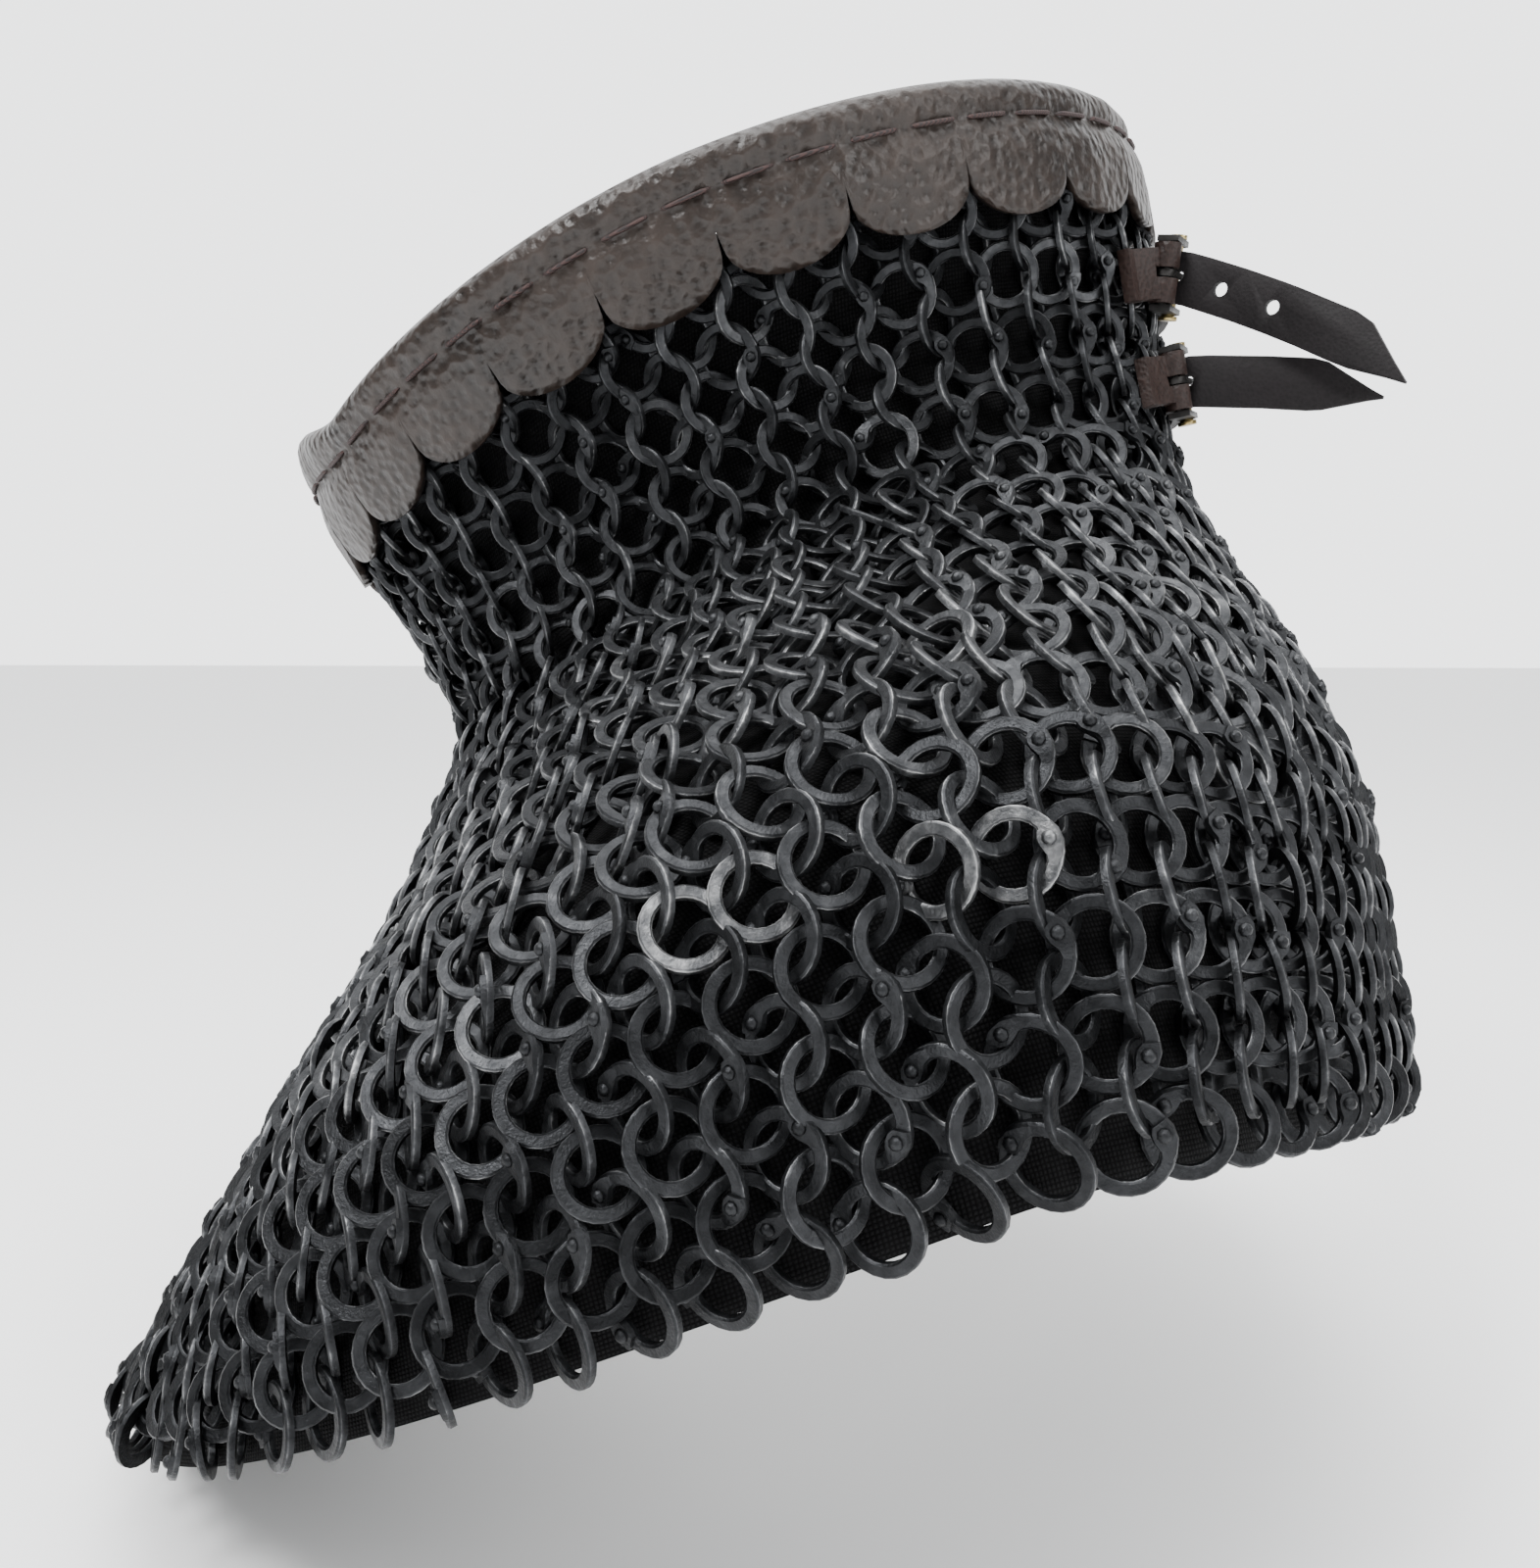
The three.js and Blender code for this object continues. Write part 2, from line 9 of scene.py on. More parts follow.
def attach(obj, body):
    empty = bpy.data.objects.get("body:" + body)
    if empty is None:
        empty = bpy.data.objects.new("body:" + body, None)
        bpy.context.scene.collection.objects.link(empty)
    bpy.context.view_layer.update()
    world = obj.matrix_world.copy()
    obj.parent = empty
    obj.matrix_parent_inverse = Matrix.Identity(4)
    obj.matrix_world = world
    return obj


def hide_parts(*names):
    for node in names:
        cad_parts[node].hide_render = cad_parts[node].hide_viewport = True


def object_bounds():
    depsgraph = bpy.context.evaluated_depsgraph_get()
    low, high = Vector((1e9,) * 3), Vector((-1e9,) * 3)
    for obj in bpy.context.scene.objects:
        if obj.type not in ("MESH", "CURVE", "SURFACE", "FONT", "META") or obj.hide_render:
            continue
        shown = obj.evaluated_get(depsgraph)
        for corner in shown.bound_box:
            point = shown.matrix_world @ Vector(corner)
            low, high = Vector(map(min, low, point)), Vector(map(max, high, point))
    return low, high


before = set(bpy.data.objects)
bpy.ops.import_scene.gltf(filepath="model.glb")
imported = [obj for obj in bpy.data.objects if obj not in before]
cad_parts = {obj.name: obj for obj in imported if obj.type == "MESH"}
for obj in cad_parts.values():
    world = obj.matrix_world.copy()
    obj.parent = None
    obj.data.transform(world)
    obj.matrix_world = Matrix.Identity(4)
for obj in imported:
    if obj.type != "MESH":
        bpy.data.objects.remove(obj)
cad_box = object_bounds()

rng = np.random.default_rng(7)

# Sizes in millimetres, repeated from the part's source. Rows run down from the neck base, row 0
RING_OUTSIDE = 11.0
ROW_STEP = 0.507 * RING_OUTSIDE
COLLAR_LEAN = math.radians(20.5)
RIM_ROW = -10.6
BAND_CLEAR = 3.2
SCALLOPS = 25
SCALLOP_FOOT_ROW = -6.8
SCALLOP_CUSP_ROW = -8.1
BAND_INSIDE_ROW = -8.35
BAND_TOP_ROW = RIM_ROW - 0.05
SLOT_TOP_ROW = -8.65
OPENING_HALF = 3.0

# Reach and height of each side at the neck base
NECK_BASE = {"side": (76.7, 0.0), "front": (82.3, -15.6), "back": (70.6, -7.4)}
# How steeply the mail falls at these rows, in degrees below the collar's level
FALL_ROWS = [-10.6, -6, -3, -0.8, 0.6, 3, 7, 10.5, 13, 15.5, 18.5, 24]
FALLS = {
    "side": [116, 108, 84, 72, 30, 23, 20, 25, 38, 60, 76, 88],
    "front": [106, 103, 98, 92, 57, 53, 49, 42, 38, 36, 34, 34],
    "back": [97, 99, 103, 103, 94, 83, 75, 81, 91, 100, 101, 102],
}
NECK_FULLNESS = 2.12
CHEST_FULLNESS = 2.33
BACK_FULLNESS = 1.79
FULLNESS_ROWS = 12
HEM_ROW = 23.6
SHOULDER_FORWARD = 7.0
THROAT_RISE = 8.0
THROAT_FROM = 0.78
THROAT_POWER = 8
BACK_DROP_POWER = 2
FRONT_DROP_POWER = 1.5
PROFILE_ROWS = (-12, 25.05)
PROFILE_STEP = 0.1

# Rings
FIRST_RING_ROW = -8.2
LAST_RING_ROW = 22.8
RING_BAND = 1.68
RING_THICK = 1.05
RING_TILT = math.radians(30)
NECK_COLUMNS = 24
MANTLE_PITCH = 0.862 * RING_OUTSIDE
RING_SIDES = 24
RING_BEVEL = 0.26

# Irregularities, as standard deviations: millimetres round a row, rows, and turns in radians
SPREAD_AROUND = 0.12
SPREAD_ROWS = 0.03
SPREAD_TILT = 0.09
SPREAD_NOD = 0.07
LOOSE_FROM_ROW = LAST_RING_ROW - 0.5
LOOSE_TIMES = 2.0

# Ring columns are added as the mantle widens; a new one starts narrow and grows over these rows
NEW_COLUMN_ROWS = 5
NEW_COLUMN_SHARE = 0.35
GOLDEN = 0.618034

# Black backing behind the mail
CLOTH_OUT = -3.55
CLOTH_THICK = 0.7
CLOTH_ROWS = (-8.3, 23.7)
CLOTH_SWAY = 0.075

# Fine steps round half a row and round the whole rim, for lengths
ARC_STEPS = 721
RIM_STEPS = 1441


def to_world(points):
    """Collar millimetres to world metres."""
    p = np.asarray(points, float)
    c, s = math.cos(COLLAR_LEAN), math.sin(COLLAR_LEAN)
    y = p[..., 1] * c - p[..., 2] * s
    z = p[..., 1] * s + p[..., 2] * c
    return np.stack([p[..., 0], y, z], -1) * 0.001


def profile(side):
    """Reach and height of one side at every tenth of a row."""
    rows = np.arange(*PROFILE_ROWS, PROFILE_STEP)
    falls = np.radians(np.interp(rows[:-1] + PROFILE_STEP / 2, FALL_ROWS, FALLS[side]))
    reach = np.concatenate([[0], np.cumsum(PROFILE_STEP * ROW_STEP * np.cos(falls))])
    height = np.concatenate([[0], -np.cumsum(PROFILE_STEP * ROW_STEP * np.sin(falls))])
    base = np.argmin(np.abs(rows))
    start = NECK_BASE[side]
    return rows, reach - reach[base] + start[0], height - height[base] + start[1]


PROFILES = {side: profile(side) for side in NECK_BASE}


def profile_at(side, row):
    """Reach and height of one side at a row."""
    rows, reach, height = PROFILES[side]
    return np.interp(row, rows, reach), np.interp(row, rows, height)


def middle(row, degrees):
    """The middle of the mail at a row and an angle, 0 at the back and 90 at the wearer's left."""
    row, degrees = np.broadcast_arrays(np.asarray(row, float), np.asarray(degrees, float))
    s, c = np.sin(np.radians(degrees)), np.cos(np.radians(degrees))
    side_reach, side_height = profile_at("side", row)
    front_reach, front_height = profile_at("front", row)
    back_reach, back_height = profile_at("back", row)
    at_back = c > 0
    reach = np.where(at_back, back_reach, front_reach)
    height = np.where(at_back, back_height, front_height)
    down = np.clip(row / FULLNESS_ROWS, 0, 1)
    end = np.where(at_back, BACK_FULLNESS, CHEST_FULLNESS)
    power = 2 / (NECK_FULLNESS + (end - NECK_FULLNESS) * down)
    forward = SHOULDER_FORWARD * np.clip(row / HEM_ROW, 0, 1)
    drop = np.where(at_back, np.abs(c) ** BACK_DROP_POWER, np.abs(c) ** FRONT_DROP_POWER)
    x = side_reach * np.sign(s) * np.abs(s) ** power
    y = reach * np.sign(c) * np.abs(c) ** power - forward * (1 - c * c)
    throat = np.clip((-c - THROAT_FROM) / (1 - THROAT_FROM), 0, 1)
    throat = throat * throat * (3 - 2 * throat)
    rise = THROAT_RISE * throat * np.clip(row / RIM_ROW, 0, None) ** THROAT_POWER
    z = side_height + (height - side_height) * drop + rise
    return np.stack([x, y, z], -1)


def unit(v):
    """Vectors at length one."""
    return v / np.maximum(np.linalg.norm(v, axis=-1, keepdims=True), 1e-9)


def surface_axes(row, degrees):
    """Unit directions round the garment, down it and out of it."""
    around = unit(middle(row, degrees + 0.4) - middle(row, degrees - 0.4))
    down = unit(middle(row + 0.05, degrees) - middle(row - 0.05, degrees))
    out = unit(np.cross(around, down))
    return around, unit(np.cross(out, around)), out


def on_mail(row, degrees, out):
    """Points at a distance out from the middle of the mail."""
    row, degrees, out = np.broadcast_arrays(row, degrees, out)
    return middle(row, degrees) + surface_axes(row, degrees)[2] * out[..., None]


def edge_angle(row):
    """The angle of the opening's edge at a row."""
    side = profile_at("side", row)[0]
    down = np.clip(row / FULLNESS_ROWS, 0, 1)
    power = 2 / (NECK_FULLNESS + (BACK_FULLNESS - NECK_FULLNESS) * down)
    return np.degrees(np.arcsin((OPENING_HALF / side) ** (1 / power)))


def arc_angles(row):
    """Angles over the left half of a row, and the length from the opening's edge to each."""
    angles = np.linspace(edge_angle(row), 180, ARC_STEPS)
    p = middle(row, angles)
    lengths = np.concatenate([[0], np.cumsum(np.linalg.norm(np.diff(p, axis=0), axis=1))])
    return angles, lengths


def make_mesh(name, points, faces, slot=None, smooth=True):
    """A mesh object from world points and an array of faces. With a slot, it rides on the part."""
    faces = np.asarray(faces)
    mesh = bpy.data.meshes.new(name)
    mesh.vertices.add(len(points))
    mesh.vertices.foreach_set("co", np.asarray(points, np.float32).ravel())
    corners = faces.shape[1]
    mesh.loops.add(faces.size)
    mesh.loops.foreach_set("vertex_index", faces.ravel().astype(np.int32))
    mesh.polygons.add(len(faces))
    mesh.polygons.foreach_set("loop_start", np.arange(0, faces.size, corners, dtype=np.int32))
    mesh.polygons.foreach_set("use_smooth", np.full(len(faces), smooth))
    mesh.update(calc_edges=True)
    mesh.validate()
    obj = bpy.data.objects.new(name, mesh)
    bpy.context.scene.collection.objects.link(obj)
    if slot:
        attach(obj, "root")
    return obj


def grid_faces(across, along, closed_across=False, closed_along=False):
    """Quads over a grid of points stored row by row, each row holding across points."""
    i = np.arange(along if closed_along else along - 1)
    j = np.arange(across if closed_across else across - 1)
    i, j = [a.ravel() for a in np.meshgrid(i, j, indexing="ij")]
    i2, j2 = (i + 1) % along, (j + 1) % across
    return np.stack([i * across + j, i * across + j2, i2 * across + j2, i2 * across + j], -1)


# Mail


def column_weights(row, starts):
    """The width of each column at a row against a full one."""
    return np.clip((row - np.array(starts)) / NEW_COLUMN_ROWS, NEW_COLUMN_SHARE, 1)


def column_centres(row, index, state):
    """Angles of the ring centres on the left half of a row."""
    angles, lengths = arc_angles(row)
    total = lengths[-1]
    starts = state["starts"]
    while row > 0:
        weights = column_weights(row, starts)
        if weights.sum() * MANTLE_PITCH >= total - MANTLE_PITCH * 0.5:
            break
        state["turn"] = (state["turn"] + GOLDEN) % 1
        starts.insert(1 + int(state["turn"] * (len(starts) - 1)), row)
    weights = column_weights(row, starts)
    ends = np.cumsum(weights) / weights.sum() * total
    centres = ends - 0.5 * weights / weights.sum() * total if index % 2 == 0 else ends
    return np.interp(centres, lengths, angles)


def ring_places():
    """Row, angle and row index of every ring, both halves."""
    state = {"starts": [-99.0] * NECK_COLUMNS, "turn": 0.3}
    rows, angles, indices = [], [], []
    count = int(round(LAST_RING_ROW - FIRST_RING_ROW)) + 1
    for index in range(count):
        row = FIRST_RING_ROW + index
        left = column_centres(row, index, state)
        right = 360 - (left[:-1] if index % 2 else left)
        both = np.concatenate([left, right])
        rows.append(np.full(len(both), row))
        angles.append(both)
        indices.append(np.full(len(both), index))
    return np.concatenate(rows), np.concatenate(angles), np.concatenate(indices)


def ring_frames(rows, angles, indices):
    """Centre, two in-plane directions and the normal of every ring, with small irregularities."""
    n = len(rows)
    loose = np.where(rows > LOOSE_FROM_ROW, LOOSE_TIMES, 1.0)
    rows = rows + rng.normal(0, SPREAD_ROWS, n)
    around, down, out = surface_axes(rows, angles)
    lean = np.where(indices % 2 == 0, 1, -1) * RING_TILT
    tilt = lean + rng.normal(0, SPREAD_TILT, n) * loose
    side = around * np.cos(tilt)[:, None] + out * np.sin(tilt)[:, None]
    normal = np.cross(side, down)
    nod = rng.normal(0, SPREAD_NOD, n) * loose
    fall = down * np.cos(nod)[:, None] + normal * np.sin(nod)[:, None]
    normal = np.cross(side, fall)
    centre = middle(rows, angles) + around * rng.normal(0, SPREAD_AROUND, n)[:, None]
    return centre, side, fall, normal


# How a ring swells at its overlap: its reach either way in radians, and how far it grows out and in
SWELL_TURN = 0.32
SWELL_OUT = 0.25
SWELL_IN = 0.45


def ring_mesh_points(frames, lug):
    """World points of flat rings; lug is the angle of the riveted overlap, or NaN for a solid ring."""
    centre, side, fall, normal = frames
    turn = np.linspace(0, 2 * math.pi, RING_SIDES, endpoint=False)
    riveted = ~np.isnan(lug)
    apart = (turn[None, :] - np.where(riveted, lug, 0)[:, None] + math.pi) % (2 * math.pi) - math.pi
    swell = np.exp(-((apart / SWELL_TURN) ** 2)) * riveted[:, None]
    outer = RING_OUTSIDE / 2 + SWELL_OUT * swell
    inner = RING_OUTSIDE / 2 - RING_BAND - SWELL_IN * swell
    thick = np.full_like(swell, RING_THICK / 2)
    section = [
        (inner, thick - RING_BEVEL), (inner + RING_BEVEL, thick), (outer - RING_BEVEL, thick),
        (outer, thick - RING_BEVEL), (outer, -thick), (inner, -thick),
    ]
    radius = np.stack([s[0] for s in section], -1)
    height = np.stack([s[1] for s in section], -1)
    spoke = (
        side[:, None, :] * np.cos(turn)[None, :, None]
        + fall[:, None, :] * np.sin(turn)[None, :, None]
    )
    points = (
        centre[:, None, None, :]
        + spoke[:, :, None, :] * radius[..., None]
        + normal[:, None, None, :] * height[..., None]
    )
    return to_world(points)


# Stations along a flattened overlap: turn from its middle, radius, half its width, rise of its top
LUG = [
    (-0.62, 4.66, 0.62, -0.05), (-0.36, 4.6, 0.95, 0.3), (-0.08, 4.42, 1.4, 0.42),
    (0.2, 4.4, 1.42, 0.42), (0.4, 4.55, 1.05, 0.4),
]

# How far an overlap is sunk in its ring, and how much narrower its top is on each side
LUG_SUNK = 0.3
LUG_BEVEL = 0.2


def lug_points(frames, lug):
    """World points of the flattened overlaps, leaf-shaped with one square end."""
    centre, side, fall, normal = frames
    foot = RING_THICK / 2 - LUG_SUNK
    stations = []
    for apart, radius, half, rise in LUG:
        turn = lug + apart
        spoke = side * np.cos(turn)[:, None] + fall * np.sin(turn)[:, None]
        top = RING_THICK / 2 + rise
        narrow = half - LUG_BEVEL
        corners = ((-half, foot), (half, foot), (narrow, top), (-narrow, top))
        for across, height in corners:
            stations.append(centre + spoke * (radius + across) + normal * height)
    return to_world(np.stack(stations, 1))


def lug_faces():
    """Faces of one overlap: its sides, and a cap at each end."""
    body = grid_faces(4, len(LUG), closed_across=True)
    last = 4 * (len(LUG) - 1)
    ends = [(3, 2, 1, 0), (last, last + 1, last + 2, last + 3)]
    return np.concatenate([body, np.array(ends)])


# A rivet head: where it stands on its ring, then radius and height of the rounds of its dome
RIVET_SIDES = 8
RIVET_FROM_CENTRE = 4.42
RIVET_TURN = 0.08
RIVET_ROUNDS = ((0.95, 0.7), (0.8, 1.3), (0.42, 1.62))
RIVET_TOP = 1.7
RIVET_FOOT = 0.7


def rivet_points(frames, lug):
    """World points of the domed rivet heads."""
    centre, side, fall, normal = frames
    angle = lug + RIVET_TURN
    spoke = side * np.cos(angle)[:, None] + fall * np.sin(angle)[:, None]
    across = np.cross(normal, spoke)
    head = centre + spoke * RIVET_FROM_CENTRE
    turn = np.linspace(0, 2 * math.pi, RIVET_SIDES, endpoint=False)
    rounds = []
    for radius, height in RIVET_ROUNDS:
        rounds.append(
            head[:, None, :]
            + spoke[:, None, :] * (radius * np.cos(turn))[None, :, None]
            + across[:, None, :] * (radius * np.sin(turn))[None, :, None]
            + normal[:, None, :] * height
        )
    top = head + normal * RIVET_TOP
    bottom = head + normal * RIVET_FOOT
    points = np.concatenate([*rounds, top[:, None, :], bottom[:, None, :]], 1)
    return to_world(points)


def rivet_faces():
    """Triangles of one rivet head."""
    n = RIVET_SIDES
    top, bottom = 3 * n, 3 * n + 1
    faces = []
    for i in range(n):
        j = (i + 1) % n
        for base in (0, n):
            faces.append((base + i, base + j, base + n + j))
            faces.append((base + i, base + n + j, base + n + i))
        faces += [(2 * n + i, 2 * n + j, top), (j, i, bottom)]
    return np.array(faces)


def join_copies(points, faces):
    """Points of many copies and one copy's faces, as one mesh."""
    copies, each = points.shape[0], int(np.prod(points.shape[1:-1]))
    shift = (np.arange(copies) * each)[:, None, None]
    return points.reshape(-1, 3), (faces[None] + shift).reshape(-1, faces.shape[1])


def add_tone_and_light(obj, tones_and_light, each):
    """Gives every copy in a joined mesh its own number, its grey with painted shade and highlight, read
    by the material.
    """
    layer = obj.data.attributes.new("tone_and_light", "FLOAT", "POINT")
    layer.data.foreach_set("value", np.repeat(tones_and_light, each).astype(np.float32))


# Edges sharper than this stay sharp. Then, how strongly each corner of a section is brightened by a
# painted highlight along its edge
SHARP_FROM = math.radians(33)
RING_EDGE_HIGHLIGHT = (1, 0, 0, 1, 0, 0)
LUG_EDGE_HIGHLIGHT = (0, 0, 0.35, 0.35)


def add_edge_highlight(obj, pattern):
    """Marks the corners of each section whose edges get a painted highlight."""
    layer = obj.data.attributes.new("edge_highlight", "FLOAT", "POINT")
    marks = np.tile(np.array(pattern, np.float32), len(obj.data.vertices) // len(pattern))
    layer.data.foreach_set("value", marks)


# How grey the rings are down the mail: painted shade darkens them at the crease and the hem, and a
# painted highlight lightens them on the shoulder
TONE_AND_LIGHT_ROWS = (-9, 0, 3, 9, 16, 23)
TONES_AND_LIGHT = (0.3, 0.2, 0.36, 0.38, 0.25, 0.05)
TONE_SPREAD = 0.12
TONE_MOST = 0.7
PALE_SHARE = 0.005
PALE_TONE = 0.6

# Rows and angles of the few rings whose black has worn off, and millimetres per degree there
BRIGHT_RINGS = ((16.8, 83.8), (15.6, 94.8), (15.5, 98.5), (16.8, 87.5), (10.3, 78.2))
BRIGHT_STEP = 2.0
BRIGHT_TONE = 0.72

# Overlaps stand near this turn on every second row's rings, and half of them on the far side
LUG_TURN = -0.5
LUG_SPREAD = 0.45
LUG_FAR_TURN = math.pi + 0.2
LUG_FAR_SHARE = 0.5

# Mail nodes with the rows and the angles of the rings that stand for them
GROUPS = (
    ("mail_neck_left", -99, 0, 0, 180.5), ("mail_neck_right", -99, 0, 180.5, 361),
    ("mail_back_left", 0, 99, 0, 52), ("mail_shoulder_left", 0, 99, 52, 122),
    ("mail_front_left", 0, 99, 122, 180.5), ("mail_front_right", 0, 99, 180.5, 238),
    ("mail_shoulder_right", 0, 99, 238, 308), ("mail_back_right", 0, 99, 308, 361),
)


def lug_angles(indices):
    """The overlap's angle on every second row's rings, and NaN on the solid rings between."""
    n = len(indices)
    near = rng.normal(LUG_TURN, LUG_SPREAD, n)
    far = LUG_FAR_TURN * (rng.random(n) < LUG_FAR_SHARE)
    return np.where(indices % 2 == 1, near + far, np.nan)


def ring_tones_and_light(rows, angles):
    """How grey each ring is, from 0 for black to 1 for bare metal, with painted shade at the crease and
    the hem and a painted highlight on the shoulder.
    """
    n = len(rows)
    # Painted light: the curve down the mail darkens the crease and the hem with painted shade and
    # lightens the shoulder with a painted highlight. The random spread and the pale and bright rings are
    # the rings' own grey.
    tone_and_light = np.interp(rows, TONE_AND_LIGHT_ROWS, TONES_AND_LIGHT) + rng.normal(0, TONE_SPREAD, n)
    tone_and_light = np.clip(tone_and_light, 0, TONE_MOST)
    tone_and_light[rng.random(n) < PALE_SHARE] = PALE_TONE
    for row, angle in BRIGHT_RINGS:
        near = np.abs(rows - row) * ROW_STEP + np.abs(angles - angle) * BRIGHT_STEP
        tone_and_light[np.argmin(near)] = BRIGHT_TONE
    return tone_and_light


def steel_copies(name, points, faces, tones_and_light, edge_highlight, steel):
    """One mesh of many like pieces, with their grey, painted shade and highlight, and the corners that
    get painted edge highlights.
    """
    obj = make_mesh(name, *join_copies(points, faces), "mail")
    if edge_highlight:
        obj.data.set_sharp_from_angle(angle=SHARP_FROM)
        add_edge_highlight(obj, edge_highlight)
    add_tone_and_light(obj, tones_and_light, int(np.prod(points.shape[1:-1])))
    obj.data.materials.append(steel)
    return obj


def build_mail(steel):
    """Rings, rivet heads and overlaps, one mesh of each for every mail node."""
    rows, angles, indices = ring_places()
    frames = ring_frames(rows, angles, indices)
    lug = lug_angles(indices)
    tone_and_light = ring_tones_and_light(rows, angles)
    ring_faces = grid_faces(len(RING_EDGE_HIGHLIGHT), RING_SIDES, closed_across=True, closed_along=True)
    for node, low, high, start, end in GROUPS:
        chosen = (rows >= low) & (rows < high) & (angles >= start) & (angles < end)
        points = ring_mesh_points([f[chosen] for f in frames], lug[chosen])
        name = node.replace("mail", "rings")
        rings = steel_copies(name, points, ring_faces, tone_and_light[chosen], RING_EDGE_HIGHLIGHT, steel)
        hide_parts(node)
        riveted = chosen & ~np.isnan(lug)
        own = [f[riveted] for f in frames]
        heads = rivet_points(own, lug[riveted])
        name = node.replace("mail", "rivets")
        steel_copies(name, heads, rivet_faces(), tone_and_light[riveted], None, steel)
        lugs = lug_points(own, lug[riveted])
        name = node.replace("mail", "lugs")
        steel_copies(name, lugs, lug_faces(), tone_and_light[riveted], LUG_EDGE_HIGHLIGHT, steel)


# Cloth behind the mail


def build_lining(cloth):
    """Both halves of the black backing, each a closed thin sheet."""
    count_across, count_down = 130, 80
    rows = np.linspace(*CLOTH_ROWS, count_down)
    share = np.linspace(0, 1, count_across)
    arcs = [arc_angles(row) for row in rows]
    left = np.stack([np.interp(share * lengths[-1], lengths, angles) for angles, lengths in arcs])
    across = np.stack([share * lengths[-1] for _, lengths in arcs])
    row = np.repeat(rows[:, None], count_across, 1)
    sway = CLOTH_SWAY * np.sin(row * 1.3 + left * 0.11) * np.sin(left * 0.23 + row * 0.4)
    for name, angle in (("lining_left", left), ("lining_right", 360 - left)):
        outs = (CLOTH_OUT + sway, CLOTH_OUT - CLOTH_THICK + sway)
        layers = [to_world(on_mail(row, angle, out)) for out in outs]
        points, faces = thin_wall(layers, count_across, count_down)
        obj = make_mesh(name, points, faces, "cloth")
        add_flat_map(obj, np.stack([across, row * ROW_STEP], -1), 2)
        obj.data.materials.append(cloth)
        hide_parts(name.replace("lining", "cloth"))
        yield obj


def thin_wall(layers, across, along):
    """Two grids of points joined round their edges into a closed wall."""
    n = across * along
    front = grid_faces(across, along)
    back = front[:, ::-1] + n
    grid = np.arange(n).reshape(along, across)
    rim = np.concatenate([grid[0, :-1], grid[:-1, -1], grid[-1, :0:-1], grid[:0:-1, 0]])
    after = np.roll(rim, -1)
    edge = np.stack([after, rim, rim + n, after + n], -1)
    points = np.concatenate([layers[0].reshape(-1, 3), layers[1].reshape(-1, 3)])
    return points, np.concatenate([front, back, edge])


def add_flat_map(obj, flat, copies):
    """A UV map in metres of cloth or leather, the same on each copy of the grid."""
    flat = np.concatenate([flat.reshape(-1, 2)] * copies) * 0.001
    index = np.zeros(len(obj.data.loops), dtype=np.int32)
    obj.data.loops.foreach_get("vertex_index", index)
    layer = obj.data.uv_layers.new(name="flat")
    layer.data.foreach_set("uv", flat[index].astype(np.float32).ravel())


# Leather band

# Half the folded band's thickness at depths below the rim's top edge, both in millimetres
BAND_HALF = [
    (0, 0), (0.3, 1.2), (0.9, 2.1), (2.0, 2.8), (3.4, 3.1), (4.8, 3.05), (5.6, 2.85),
    (6.4, 3.2), (8.2, 4.0), (10.0, 4.55), (12.5, 4.8), (30, 4.9),
]


def band_half(depth):
    """Half the folded band's thickness at a depth below the rim's top edge."""
    table = np.array(BAND_HALF)
    return np.interp(depth, table[:, 0], table[:, 1])


def rim_arcs():
    """Fine angles round the whole band, and the length from its end to each."""
    edge = edge_angle(SCALLOP_FOOT_ROW)
    fine = np.linspace(edge, 360 - edge, RIM_STEPS)
    p = middle(SCALLOP_FOOT_ROW, fine)
    lengths = np.concatenate([[0], np.cumsum(np.linalg.norm(np.diff(p, axis=0), axis=1))])
    return fine, lengths


def band_stations(per_scallop):
    """Turn along the band from 0 to 1, closer together towards the cusps."""
    inside = (1 - np.cos(np.linspace(0, math.pi, per_scallop + 1))) / 2
    stations = [(i + inside[:-1]) / SCALLOPS for i in range(SCALLOPS)]
    return np.append(np.concatenate(stations), 1.0)


# A short cut above each cusp: its length in rows and half its width as a share of a scallop
SLIT_ROWS = 0.5
SLIT_WIDTH = 0.014

# Points along a scallop, and up the band's outside and down its inside
STATIONS_IN_SCALLOP = 24
OUTSIDE_ROWS = 26
INSIDE_ROWS = 12

# Gentle waves in the leather along the band: height in millimetres, pace and start
RIPPLES = ((0.12, 260, 0), (0.1, 97, 1))


def band_edge(turns):
    """The row of the band's scalloped edge at each turn along it."""
    within = (turns * SCALLOPS) % 1
    bulge = np.sqrt(np.clip(1 - (2 * within - 1) ** 2, 0, 1))
    low = SCALLOP_CUSP_ROW + (SCALLOP_FOOT_ROW - SCALLOP_CUSP_ROW) * bulge
    from_cusp = np.minimum(within, 1 - within)
    inner = (turns > 0.5 / SCALLOPS) & (turns < 1 - 0.5 / SCALLOPS)
    return low - SLIT_ROWS * np.exp(-((from_cusp / SLIT_WIDTH) ** 2)) * inner


def band_sections(low):
    """Rows and distances out round the band's section, from its scalloped edge over the rim and back."""
    columns = []
    for row in outer_rows(low, BAND_TOP_ROW, OUTSIDE_ROWS):
        columns.append((row, band_half((row - BAND_TOP_ROW) * ROW_STEP)))
    inside_edge = np.full_like(low, BAND_INSIDE_ROW)
    for row in outer_rows(inside_edge, BAND_TOP_ROW, INSIDE_ROWS)[-2::-1]:
        columns.append((row, -band_half((row - BAND_TOP_ROW) * ROW_STEP)))
    slot = np.full_like(low, SLOT_TOP_ROW)
    clear = np.full_like(low, BAND_CLEAR)
    columns += [(inside_edge, -clear), (slot, -clear), (slot, clear), (low, clear)]
    rows = np.stack([c[0] for c in columns], 1)
    outs = np.stack([c[1] for c in columns], 1)
    return rows, outs


